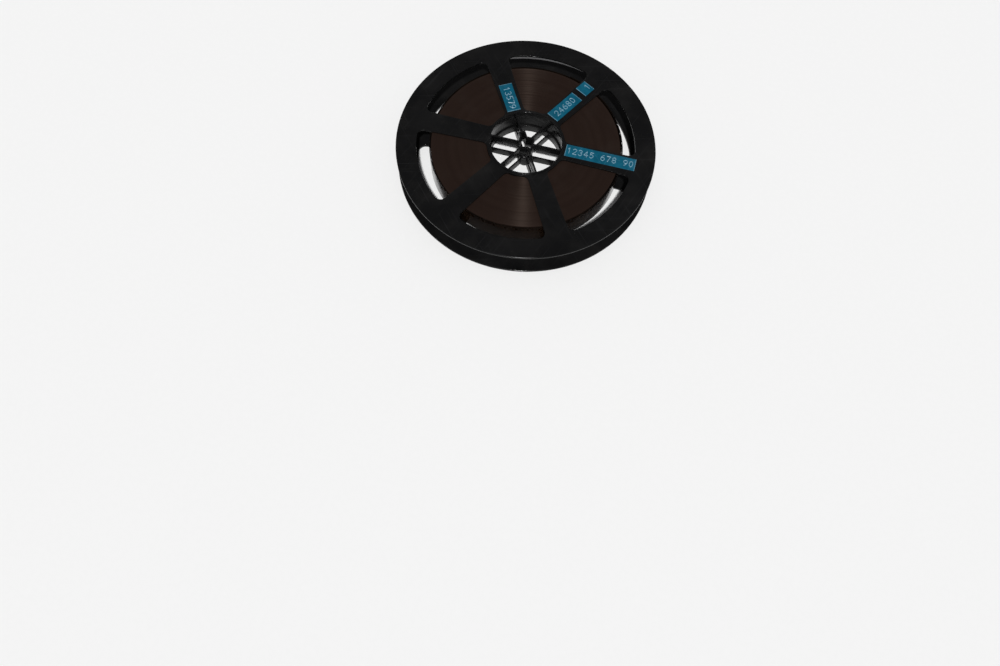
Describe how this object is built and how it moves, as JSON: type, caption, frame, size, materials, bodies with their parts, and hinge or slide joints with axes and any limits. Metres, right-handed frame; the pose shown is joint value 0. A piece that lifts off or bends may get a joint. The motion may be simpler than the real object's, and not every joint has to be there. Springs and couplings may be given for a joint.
{
  "type": "cine film reel",
  "caption": "Flat moulded cine reel with windowed flanges, a ribbed hub with square and round spindle holes, wound perforated film and embossed label tapes.",
  "frame": {"origin": "centre of the rear hub lip's face, on the spindle axis, where the reel lies on a table", "axes": "+Z along the spindle axis towards the labelled front flange, +X along the spoke with the long label tape"},
  "size_m": [0.178, 0.178, 0.021],
  "materials": {
    "black_plastic": "semi-gloss, lightly scratched",
    "film": "dark brown, edge-on turns",
    "label_tape": "blue, embossed white"
  },
  "bodies": {
    "reel": {"rear_flange": "black_plastic", "front_flange": "black_plastic", "core_drum": "black_plastic", "film_pack": "film", "long_label_tape": "label_tape", "inner_label_tape": "label_tape", "outer_label_tape": "label_tape", "left_label_tape": "label_tape"},
    "outer_film": {"film_outer_turns": "film"}
  },
  "joints": [
    {"name": "film_wind", "type": "hinge", "parent": "reel", "child": "outer_film", "pos_m": [0, 0, 0.0105], "axis": [0, 0, 1], "continuous": true}
  ]
}
